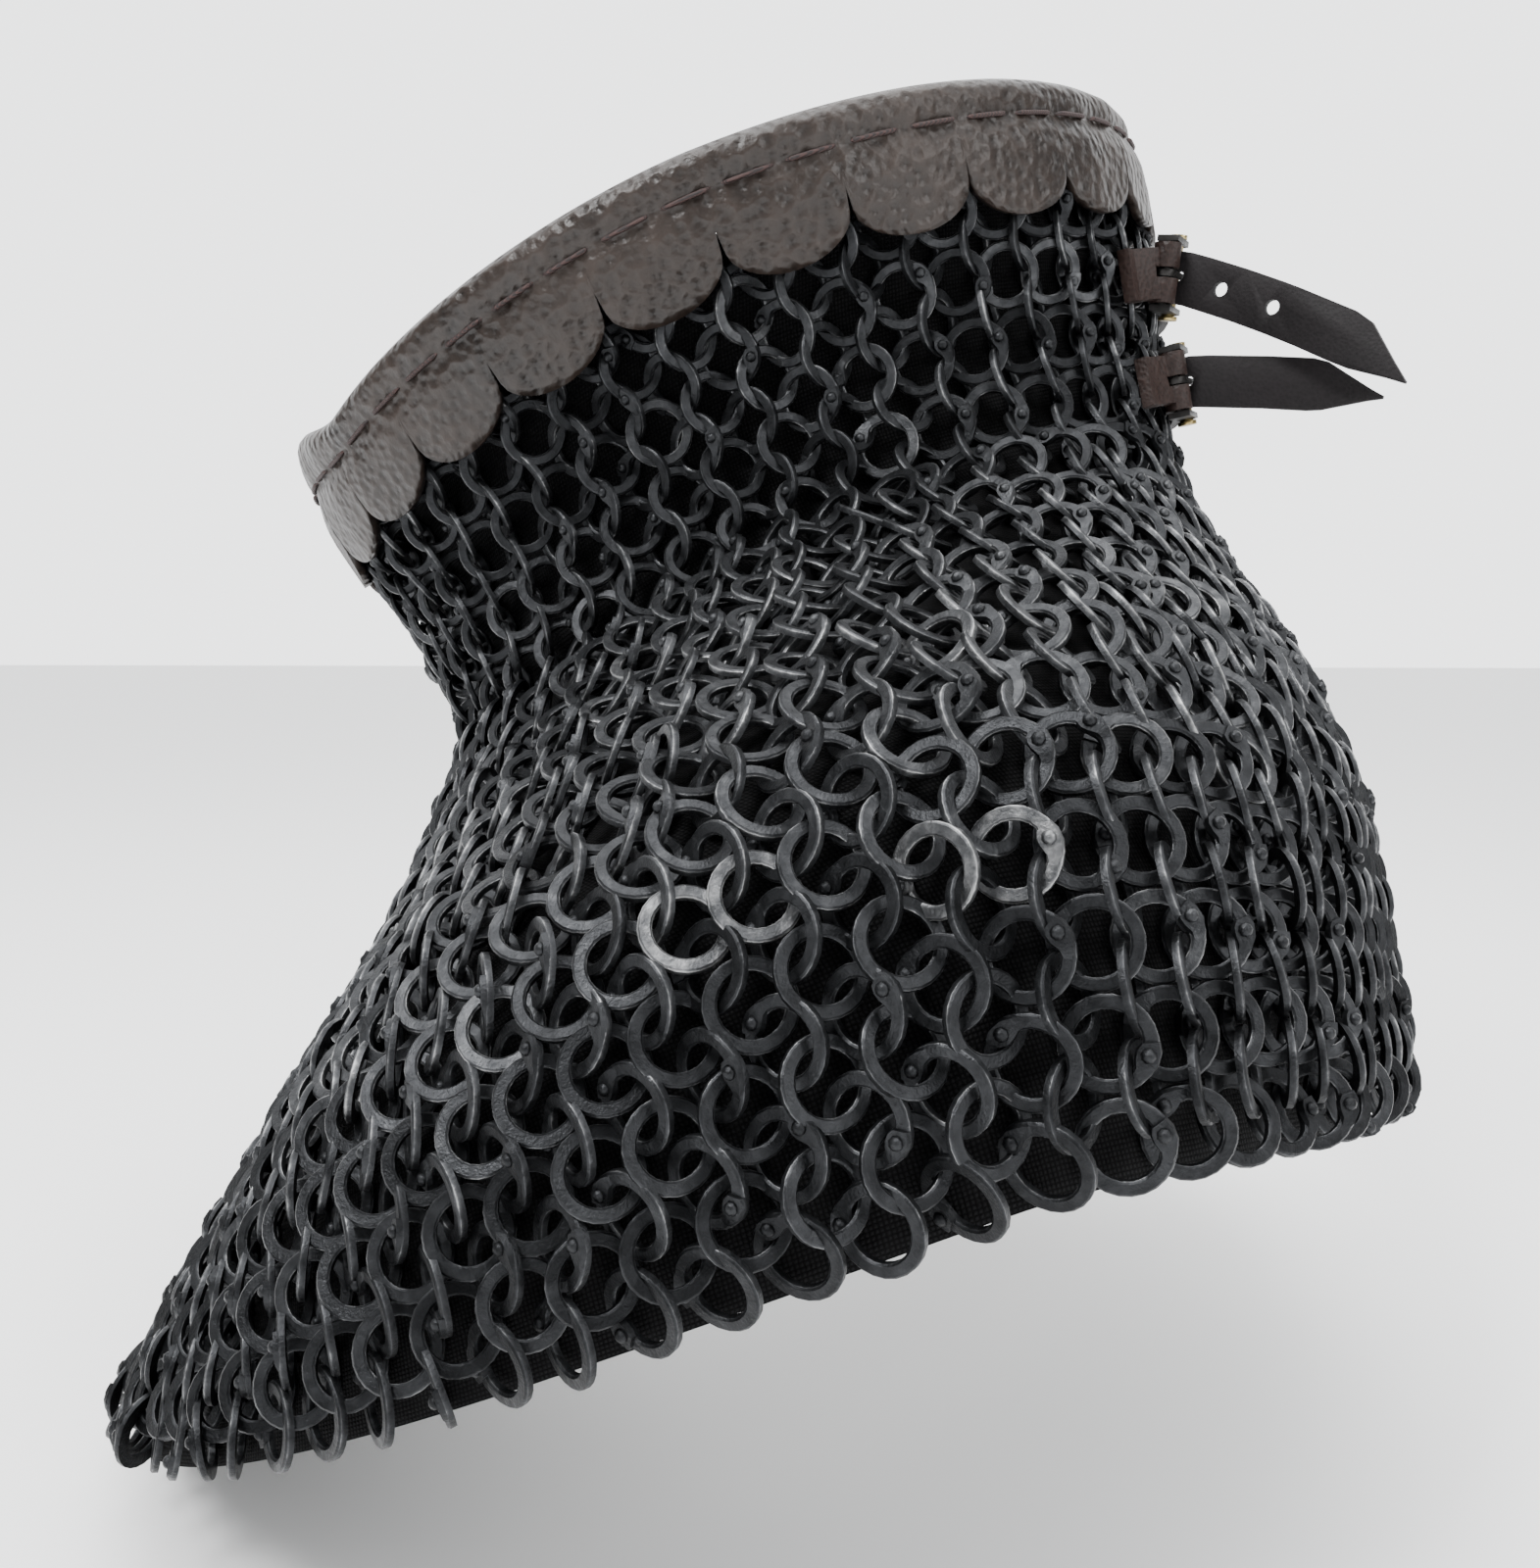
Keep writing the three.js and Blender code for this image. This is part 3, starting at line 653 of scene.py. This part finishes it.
def build_band(leather):
    """The folded band with its scalloped edge, lofted round the rim."""
    turns = band_stations(STATIONS_IN_SCALLOP)
    fine, lengths = rim_arcs()
    angle = np.interp(turns * lengths[-1], lengths, fine)
    rows, outs = band_sections(band_edge(turns))
    ripple = sum(height * np.sin(turns * pace + start) for height, pace, start in RIPPLES)
    outs = outs + ripple[:, None] * np.clip(outs / 3, -1, 1)
    along, across = rows.shape
    spread = np.repeat(angle[:, None], across, 1)
    points = to_world(on_mail(rows, spread, outs))
    faces = grid_faces(across, along, closed_across=True)
    obj = make_mesh("band", points.reshape(-1, 3), faces, "band_leather")
    cap_ends(obj, across, along)
    flat = np.stack([np.repeat((turns * lengths[-1])[:, None], across, 1), rows * ROW_STEP], -1)
    add_flat_map(obj, flat, 1)
    obj.data.materials.append(leather)
    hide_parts("leather_band")


def outer_rows(low, top, count):
    """Rows from the band's edge up to its top, closer together near the top."""
    share = np.linspace(0, 1, count)
    share = 1 - (1 - share) ** 1.6
    return [low + (top - low) * s for s in share]


def cap_ends(obj, across, along):
    """Closes both ends of a loft with one many-sided face each."""
    work = bmesh.new()
    work.from_mesh(obj.data)
    work.verts.ensure_lookup_table()
    last = (along - 1) * across
    work.faces.new([work.verts[i] for i in reversed(range(across))])
    work.faces.new([work.verts[last + i] for i in range(across)])
    work.to_mesh(obj.data)
    work.free()


# Stitches in millimetres: one every so far round the rim, highest in the middle, dipping at its ends
STITCH_ROW = -9.63
STITCH_LONG = 8.7
STITCH_EVERY = 9.6
STITCH_RADIUS = 0.38
STITCH_RISE = 0.55
STITCH_DIP = 1.05


def build_stitches(thread):
    """Long stitches of one thread along the top of the band."""
    fine, lengths = rim_arcs()
    count = int(lengths[-1] / STITCH_EVERY)
    starts = (np.arange(count) + 0.5) * lengths[-1] / count
    sides, steps = 8, 9
    turn = np.linspace(0, 2 * math.pi, sides, endpoint=False)
    along = np.linspace(-0.5, 0.5, steps)
    surface = band_half((STITCH_ROW - BAND_TOP_ROW) * ROW_STEP)
    clouds = []
    for start in starts:
        angle = np.interp(start + along * STITCH_LONG, lengths, fine)
        rise = STITCH_RISE - STITCH_DIP * np.abs(2 * along) ** 8
        centre = on_mail(np.full(steps, STITCH_ROW), angle, surface + rise)
        _, down, out = surface_axes(np.full(steps, STITCH_ROW), angle)
        radius = STITCH_RADIUS * np.sqrt(np.clip(1.02 - np.abs(2 * along) ** 6, 0.02, 1))
        spoke = (
            down[:, None, :] * np.cos(turn)[None, :, None]
            + out[:, None, :] * np.sin(turn)[None, :, None]
        )
        clouds.append(centre[:, None, :] + spoke * radius[:, None, None])
    points = to_world(np.stack(clouds))
    faces = grid_faces(sides, steps, closed_across=True)
    obj = make_mesh("stitches", *join_copies(points, faces), "band_leather")
    obj.data.materials.append(thread)


# Straps and buckles, refined copies of their solids

# Points this close in metres are welded, sides this flat are joined, and edges this sharp are rounded
WELD_WITHIN = 1e-6
FLAT_WITHIN = math.radians(1.5)
ROUND_FROM = math.radians(30)


def refined(node, name, material, bevel):
    """A copy of a node's mesh, welded and smooth, its edges rounded by bevel in millimetres."""
    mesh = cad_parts[node].data.copy()
    mesh.name = name
    work = bmesh.new()
    work.from_mesh(mesh)
    bmesh.ops.remove_doubles(work, verts=work.verts, dist=WELD_WITHIN)
    bmesh.ops.dissolve_limit(work, angle_limit=FLAT_WITHIN, verts=work.verts, edges=work.edges)
    work.to_mesh(mesh)
    work.free()
    mesh.materials.clear()
    mesh.materials.append(material)
    mesh.polygons.foreach_set("use_smooth", np.full(len(mesh.polygons), True))
    obj = bpy.data.objects.new(name, mesh)
    bpy.context.scene.collection.objects.link(obj)
    rounding = obj.modifiers.new("rounded edges", "BEVEL")
    rounding.width = bevel * 0.001
    rounding.segments = 2
    rounding.limit_method = "ANGLE"
    rounding.angle_limit = ROUND_FROM
    rounding.harden_normals = True
    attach(obj, "root")
    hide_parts(node)


def build_fittings(chape, strap, iron, brass):
    """The straps, chapes and buckles."""
    for key in ("upper", "lower"):
        refined(f"strap_{key}", f"strap_{key}_leather", strap, bevel=0.35)
        refined(f"chape_{key}", f"chape_{key}_leather", chape, bevel=0.3)
        refined(f"buckle_frame_{key}", f"frame_{key}", iron, bevel=0.22)
        refined(f"buckle_prong_{key}", f"prong_{key}", iron, bevel=0.15)
        refined(f"buckle_bar_{key}", f"bar_{key}", brass, bevel=0.2)


# Materials


class Nodes:
    """Short helper for one material's nodes."""

    def __init__(self, name):
        self.material = bpy.data.materials.new(name)
        self.material.use_nodes = True
        self.tree = self.material.node_tree
        self.shader = self.tree.nodes["Principled BSDF"]

    def add(self, kind, **values):
        """A new node with these settings."""
        node = self.tree.nodes.new(kind)
        for key, value in values.items():
            setattr(node, key, value)
        return node

    def link(self, a, b):
        """Joins one node's output to another's input."""
        self.tree.links.new(a, b)

    def noise(self, vector, scale, detail, rough):
        """Cloudy values from 0 to 1; scale is how many to the metre."""
        node = self.add("ShaderNodeTexNoise")
        node.inputs["Scale"].default_value = scale
        node.inputs["Detail"].default_value = detail
        node.inputs["Roughness"].default_value = rough
        self.link(vector, node.inputs["Vector"])
        return node.outputs["Fac"]

    def place(self):
        """The point on the part, in metres."""
        return self.add("ShaderNodeNewGeometry").outputs["Position"]

    def ramp(self, value, stops):
        """Colours blended between stops."""
        node = self.add("ShaderNodeValToRGB")
        ramp = node.color_ramp
        while len(ramp.elements) < len(stops):
            ramp.elements.new(0.5)
        for element, (position, colour) in zip(ramp.elements, stops):
            element.position = position
            element.color = (*colour, 1)
        self.link(value, node.inputs["Fac"])
        return node.outputs["Color"]

    def grey(self, value, stops):
        """Plain numbers blended between stops."""
        return self.ramp(value, [(p, (g, g, g)) for p, g in stops])

    def maths(self, operation, a, b=0.0):
        """A sum or other operation on sockets or plain numbers."""
        node = self.add("ShaderNodeMath", operation=operation)
        for socket, value in zip(node.inputs, (a, b)):
            if isinstance(value, (int, float)):
                socket.default_value = value
            else:
                self.link(value, socket)
        return node.outputs[0]

    def bump(self, height, strength, distance, under=None):
        """Fine relief, distance deep in metres, over another bump where one is given."""
        node = self.add("ShaderNodeBump")
        node.inputs["Strength"].default_value = strength
        node.inputs["Distance"].default_value = distance
        self.link(height, node.inputs["Height"])
        if under is not None:
            self.link(under, node.inputs["Normal"])
        return node.outputs["Normal"]


def steel_material():
    """Oiled black steel, greyer where it is worn, with painted highlights on the front edges and painted
    shade and highlight down the mail.
    """
    m = Nodes("blackened_steel")
    place = m.place()
    tone_and_light = m.add("ShaderNodeAttribute", attribute_name="tone_and_light").outputs["Fac"]
    patches = m.noise(place, scale=420, detail=4, rough=0.6)
    fine = m.noise(place, scale=2600, detail=3, rough=0.6)
    edge_highlight = m.add("ShaderNodeAttribute", attribute_name="edge_highlight").outputs["Fac"]
    # Painted highlight: the marked corners of each section are brightened, broken up by the patches
    # noise.
    rim_highlight = m.maths("MULTIPLY", m.maths("POWER", edge_highlight, 3), m.maths("MULTIPLY", patches, 0.62))
    # Worn patches, each ring's grey with its painted shade and highlight, and the painted edge highlight
    # are summed into one grey.
    wear_and_light = m.maths("ADD", m.maths("MULTIPLY", patches, 0.55), m.maths("MULTIPLY", tone_and_light, 0.6))
    wear_and_light = m.maths("ADD", wear_and_light, rim_highlight)
    colour = m.ramp(wear_and_light, [
        (0.25, (0.009, 0.0095, 0.0105)), (0.5, (0.028, 0.0292, 0.0315)),
        (0.68, (0.07, 0.072, 0.0755)), (0.95, (0.34, 0.343, 0.345)),
    ])
    m.link(colour, m.shader.inputs["Base Color"])
    rough = m.grey(m.noise(place, scale=900, detail=4, rough=0.6), [(0.3, 0.34), (0.7, 0.52)])
    m.link(rough, m.shader.inputs["Roughness"])
    m.shader.inputs["Metallic"].default_value = 0.85
    soft = m.bump(patches, strength=0.35, distance=0.0004)
    m.link(m.bump(fine, strength=0.8, distance=0.00013, under=soft), m.shader.inputs["Normal"])
    return m.material


# Distance between the weave's threads in metres
THREAD_PITCH = 0.00062


def cloth_material():
    """Plain black weave."""
    m = Nodes("black_weave")
    flat = m.add("ShaderNodeUVMap", uv_map="flat").outputs["UV"]
    split = m.add("ShaderNodeSeparateXYZ")
    m.link(flat, split.inputs[0])
    pitch = math.pi / THREAD_PITCH
    warp = m.maths("SINE", m.maths("MULTIPLY", split.outputs["X"], pitch))
    weft = m.maths("SINE", m.maths("MULTIPLY", split.outputs["Y"], pitch))
    over = m.maths("MULTIPLY", warp, weft)
    height = m.maths("ABSOLUTE", over)
    colour = m.ramp(height, [(0.1, (0.0004, 0.0004, 0.0005)), (0.9, (0.0065, 0.0065, 0.007))])
    m.link(colour, m.shader.inputs["Base Color"])
    m.shader.inputs["Specular IOR Level"].default_value = 0.12
    m.shader.inputs["Roughness"].default_value = 0.95
    m.link(m.bump(height, strength=0.7, distance=0.0003), m.shader.inputs["Normal"])
    return m.material


def leather_material(name, dark, light, pebble, strength, rough, gloss):
    """Leather with a pebbled grain; pebble is how many grains there are in a metre."""
    m = Nodes(name)
    m.shader.inputs["Specular IOR Level"].default_value = gloss
    place = m.place()
    cells = m.add("ShaderNodeTexVoronoi", feature="SMOOTH_F1")
    cells.inputs["Scale"].default_value = pebble
    cells.inputs["Smoothness"].default_value = 0.6
    bend = m.noise(place, scale=pebble * 0.6, detail=3, rough=0.6)
    m.link(place, cells.inputs["Vector"])
    grain = m.maths("ADD", cells.outputs["Distance"], m.maths("MULTIPLY", bend, 0.7))
    broad = m.noise(place, scale=45, detail=4, rough=0.55)
    mixed = m.maths("ADD", m.maths("MULTIPLY", grain, 0.35), m.maths("MULTIPLY", broad, 0.7))
    colour = m.ramp(mixed, [(0.35, dark), (0.85, light)])
    m.link(colour, m.shader.inputs["Base Color"])
    m.link(m.grey(broad, [(0.3, rough - 0.08), (0.7, rough + 0.1)]), m.shader.inputs["Roughness"])
    soft = m.bump(broad, strength=0.3, distance=0.0008)
    m.link(m.bump(grain, strength=strength, distance=0.0005, under=soft), m.shader.inputs["Normal"])
    return m.material


def metal_material(name, dark, light, rough, metallic):
    """Cloudy metal between two colours."""
    m = Nodes(name)
    place = m.place()
    cloudy = m.noise(place, scale=500, detail=4, rough=0.6)
    m.link(m.ramp(cloudy, [(0.3, dark), (0.7, light)]), m.shader.inputs["Base Color"])
    m.link(m.grey(cloudy, [(0.3, rough + 0.12), (0.7, rough - 0.05)]), m.shader.inputs["Roughness"])
    m.shader.inputs["Metallic"].default_value = metallic
    m.link(m.bump(cloudy, strength=0.2, distance=0.0003), m.shader.inputs["Normal"])
    return m.material


def thread_material():
    """Dark red-brown waxed thread with a twist."""
    m = Nodes("waxed_thread")
    place = m.place()
    twist = m.add("ShaderNodeTexWave")
    twist.inputs["Scale"].default_value = 900
    m.link(place, twist.inputs["Vector"])
    colour = m.ramp(twist.outputs["Fac"], [(0.2, (0.008, 0.003, 0.0028)), (0.8, (0.035, 0.014, 0.012))])
    m.link(colour, m.shader.inputs["Base Color"])
    m.shader.inputs["Roughness"].default_value = 0.7
    m.link(m.bump(twist.outputs["Fac"], strength=0.4, distance=0.0002), m.shader.inputs["Normal"])
    return m.material


# Camera, floor and light

# The camera in metres, with the photo's right and up as directions, and its lens in millimetres
CAMERA_PLACE = (0.30983, -0.00017, -0.02017)
CAMERA_RIGHT = (-0.0318, 0.99949, 0.00124)
CAMERA_UP = (-0.10429, -0.00455, 0.99454)
LENS = 32.97
SENSOR = 36


def add_camera():
    """The photo's viewpoint, close in on the wearer's left."""
    camera = bpy.data.objects.new("camera", bpy.data.cameras.new("camera"))
    bpy.context.scene.collection.objects.link(camera)
    camera.data.lens = LENS
    camera.data.sensor_width = SENSOR
    camera.data.clip_start = 0.01
    right = Vector(CAMERA_RIGHT)
    back = right.cross(Vector(CAMERA_UP))
    up = back.cross(right)
    turned = Matrix((right, up, back)).transposed().to_4x4()
    camera.matrix_world = Matrix.Translation(CAMERA_PLACE) @ turned
    bpy.context.scene.camera = camera


LIGHT_TARGET = (0, 0, -0.03)


def add_area(name, place, size, power):
    """A soft square lamp, its size in metres and power in watts, turned towards the part."""
    lamp = bpy.data.lights.new(name, "AREA")
    lamp.shape = "RECTANGLE"
    lamp.size = size
    lamp.size_y = size
    lamp.energy = power
    obj = bpy.data.objects.new(name, lamp)
    obj.location = place
    obj.rotation_euler = (Vector(LIGHT_TARGET) - Vector(place)).to_track_quat("-Z", "Y").to_euler()
    bpy.context.scene.collection.objects.link(obj)


# The floor's distance below the part and its reach in metres, then the room's strengths of light
FLOOR_BELOW = 0.004
FLOOR_REACH = 6.0
ROOM_LIGHT = 0.25
WALL_LIGHT = 2.8
CEILING_LIGHT = 2.2


def add_studio():
    """A plain pale floor just under the part, the room and three lamps."""
    floor_z = cad_box[0][2] - FLOOR_BELOW
    reach = FLOOR_REACH
    corners = [(x * reach, y * reach, floor_z) for x, y in ((-1, -1), (1, -1), (1, 1), (-1, 1))]
    floor = make_mesh("floor", corners, [(0, 1, 2, 3)], smooth=False)
    pale = Nodes("pale_floor")
    pale.shader.inputs["Base Color"].default_value = (0.95, 0.95, 0.95, 1)
    pale.shader.inputs["Roughness"].default_value = 0.9
    floor.data.materials.append(pale.material)
    add_world()
    add_area("key", place=(0.6, -0.45, 0.75), size=0.3, power=12)
    add_area("fill", place=(0.6, 0.7, 0.35), size=0.4, power=5)
    add_area("top", place=(0.1, 0.0, 0.9), size=0.7, power=8)


def add_world():
    """A dim room with a white wall behind the part and a pale ceiling."""
    world = bpy.data.worlds.new("studio")
    world.use_nodes = True
    tree = world.node_tree
    split = tree.nodes.new("ShaderNodeSeparateXYZ")
    tree.links.new(tree.nodes.new("ShaderNodeTexCoord").outputs["Generated"], split.inputs[0])
    wall = eased(tree, split.outputs["X"], (-0.3, -0.75), WALL_LIGHT)
    ceiling = eased(tree, split.outputs["Z"], (0.35, 0.95), CEILING_LIGHT)
    both = tree.nodes.new("ShaderNodeMath")
    tree.links.new(wall, both.inputs[0])
    tree.links.new(ceiling, both.inputs[1])
    total = tree.nodes.new("ShaderNodeMath")
    total.inputs[1].default_value = ROOM_LIGHT
    tree.links.new(both.outputs[0], total.inputs[0])
    background = tree.nodes["Background"]
    background.inputs["Color"].default_value = (0.98, 0.99, 1, 1)
    tree.links.new(total.outputs[0], background.inputs["Strength"])
    bpy.context.scene.world = world


def eased(tree, value, span, top):
    """A number that rises smoothly from 0 to its top over a span of another."""
    node = tree.nodes.new("ShaderNodeMapRange")
    node.interpolation_type = "SMOOTHSTEP"
    node.inputs["From Min"].default_value, node.inputs["From Max"].default_value = span
    node.inputs["To Max"].default_value = top
    tree.links.new(value, node.inputs["Value"])
    return node.outputs["Result"]


def main():
    """The gorget with its looks, the camera and the studio."""
    add_camera()
    add_studio()
    build_mail(steel_material())
    for lining in build_lining(cloth_material()):
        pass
    band = leather_material(
        "pebbled_leather", dark=(0.004, 0.0028, 0.0022), light=(0.028, 0.0195, 0.0155),
        pebble=560, strength=1.0, rough=0.4, gloss=0.35,
    )
    strap = leather_material(
        "strap_leather", dark=(0.003, 0.0024, 0.0026), light=(0.0105, 0.0084, 0.0092),
        pebble=1700, strength=0.1, rough=0.62, gloss=0.2,
    )
    chape = leather_material(
        "chape_leather", dark=(0.004, 0.002, 0.0015), light=(0.024, 0.0125, 0.01),
        pebble=1500, strength=0.25, rough=0.55, gloss=0.25,
    )
    build_band(band)
    build_stitches(thread_material())
    iron = metal_material(
        "dark_iron", dark=(0.006, 0.0055, 0.005), light=(0.02, 0.018, 0.017), rough=0.5, metallic=0.5
    )
    brass = metal_material(
        "brass", dark=(0.3, 0.22, 0.09), light=(0.52, 0.42, 0.2), rough=0.32, metallic=1.0
    )
    build_fittings(chape, strap, iron, brass)


main()
